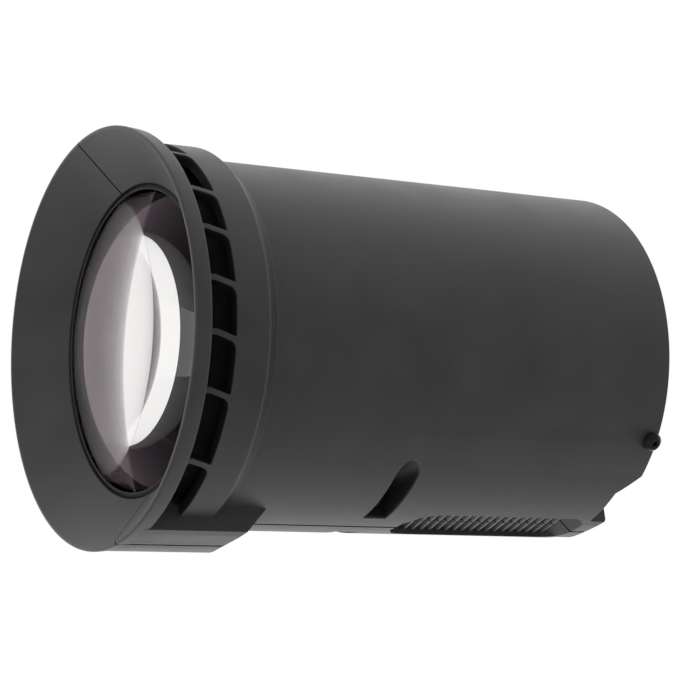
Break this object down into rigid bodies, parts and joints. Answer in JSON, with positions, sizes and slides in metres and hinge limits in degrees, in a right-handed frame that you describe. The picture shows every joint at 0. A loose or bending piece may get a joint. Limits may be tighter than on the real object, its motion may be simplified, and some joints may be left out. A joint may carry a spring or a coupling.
{
  "type": "ellipsoidal spotlight lens tube",
  "caption": "Black fixed-focus spotlight lens tube: two half shells around glass lenses, with a flared bell mouth, a ring of cooling windows and a focus rack underneath.",
  "frame": {"origin": "on the optical axis, halfway between the front rim and the rear edge", "axes": "+Y along the optical axis towards the open rear end, -Y out of the bell mouth, +X square to the seam plane, -Z towards the focus rack"},
  "size_m": [0.1808, 0.2446, 0.1808],
  "materials": {
    "shell": "fine moulded texture, black",
    "lens": "polished, coated",
    "gasket": "matt black silicone",
    "anodised": "black anodised",
    "screw": "black oxide",
    "washer": "zinc plated",
    "stud": "black oxide"
  },
  "bodies": {
    "root": {"shell_right": "shell", "shell_left": "shell", "front_lens": "lens", "rear_lens": "lens", "front_lens_gasket": "gasket", "lens_spacer": "anodised", "rear_lens_gasket": "gasket", "lens_retaining_ring": "anodised", "light_baffle": "anodised", "bottom_clamp_screw": "screw", "bottom_clamp_washer": "washer", "bottom_clamp_nut": "washer", "top_front_clamp_screw": "screw", "top_front_clamp_washer": "washer", "top_front_clamp_nut": "washer", "top_middle_clamp_screw": "screw", "top_middle_clamp_washer": "washer", "top_middle_clamp_nut": "washer", "top_rear_clamp_screw": "screw", "top_rear_clamp_washer": "washer", "top_rear_clamp_nut": "washer", "right_guide_stud": "stud", "left_guide_stud": "stud", "front_dowel": "washer", "rear_dowel": "washer"}
  },
  "joints": []
}
